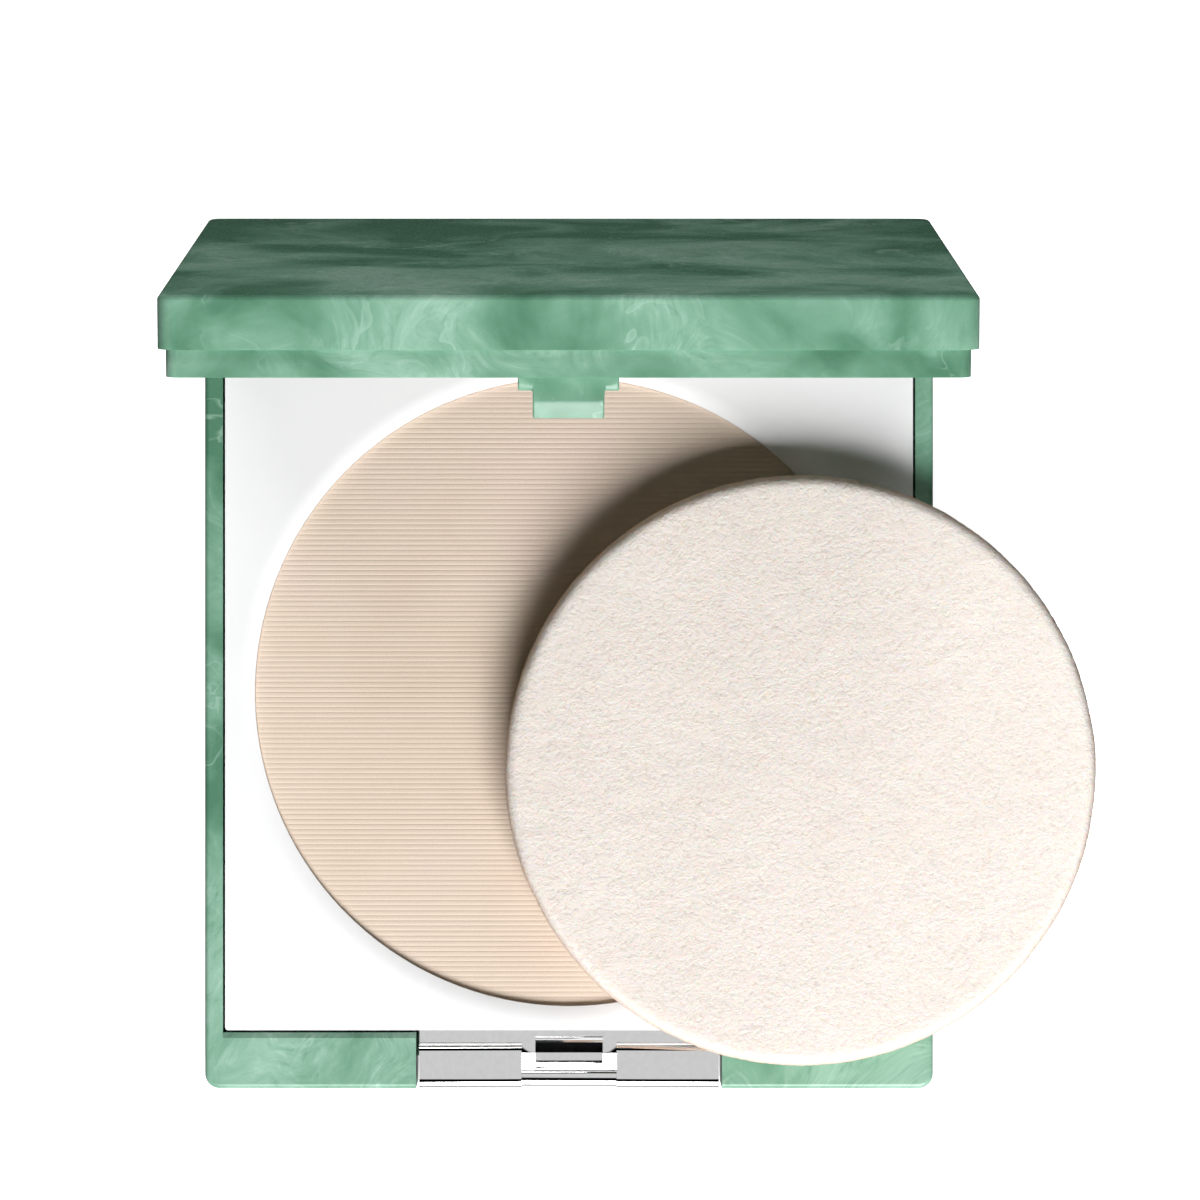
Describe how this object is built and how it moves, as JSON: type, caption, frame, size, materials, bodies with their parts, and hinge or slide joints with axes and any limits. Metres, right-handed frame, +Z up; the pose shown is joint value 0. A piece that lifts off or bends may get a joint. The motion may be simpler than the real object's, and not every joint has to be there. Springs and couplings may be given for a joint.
{
  "type": "powder compact",
  "caption": "Square pressed-powder compact with a hinged mirror lid, a sprung chrome push clasp, a white insert round the powder pan and a round foam sponge.",
  "frame": {"origin": "centre of the base's underside, on the surface that the compact lies on", "axes": "+Z up out of the powder, +Y to the hinge at the back, +X to the right as seen from the clasp"},
  "size_m": [0.0841, 0.0828, 0.076],
  "materials": {
    "marbled_base": "glossy, marbled pale wisps in green",
    "marbled_lid": "glossy, marbled pale wisps in green",
    "marbled_frame": "glossy, marbled pale wisps in green",
    "white_insert": "satin white",
    "pan_metal": "drawn, satin",
    "glue": "cured, dull",
    "powder": "pressed powder, matte, finely ridged",
    "dark_plastic": "matte black",
    "clasp_chrome": "polished",
    "spring_steel": "drawn wire",
    "pin_steel": "turned",
    "label": "blank, satin",
    "mirror": "polished",
    "sponge_foam": "fine open latex foam"
  },
  "bodies": {
    "base": {"base_shell": "marbled_base", "powder_tray": "white_insert", "godet": "pan_metal", "godet_adhesive": "glue", "powder_cake": "powder", "clasp_housing": "dark_plastic", "clasp_spring_left": "spring_steel", "clasp_spring_right": "spring_steel", "hinge_pin_left": "pin_steel", "hinge_pin_right": "pin_steel", "base_label": "label"},
    "lid": {"lid_shell": "marbled_lid", "lid_inner_frame": "marbled_frame", "latch_tongue": "marbled_frame", "mirror": "mirror", "mirror_adhesive": "glue"},
    "clasp": {"clasp_button": "clasp_chrome"},
    "sponge": {"sponge": "sponge_foam"}
  },
  "joints": [
    {"name": "lid_hinge", "type": "hinge", "parent": "base", "child": "lid", "pos_m": [0, 0.03415, 0.0047], "axis": [-1, 0, 0], "range_deg": [-81.2, 19]},
    {"name": "clasp_push", "type": "slide", "parent": "base", "child": "clasp", "axis": [0, 1, 0], "range_m": [0, 0.0011], "stiffness_N_per_m": 300, "springref_m": -0.0012, "deforming": ["clasp_spring_left", "clasp_spring_right"]},
    {"name": "sponge_slide", "type": "slide", "parent": "base", "child": "sponge", "axis": [-0.9479, 0.3185, 0], "range_m": [-0.0055, 0.0231]}
  ],
  "couplings": [
    {"joint": "sponge_slide", "follows": "lid_hinge", "m_per_rad": -0.016227}
  ]
}
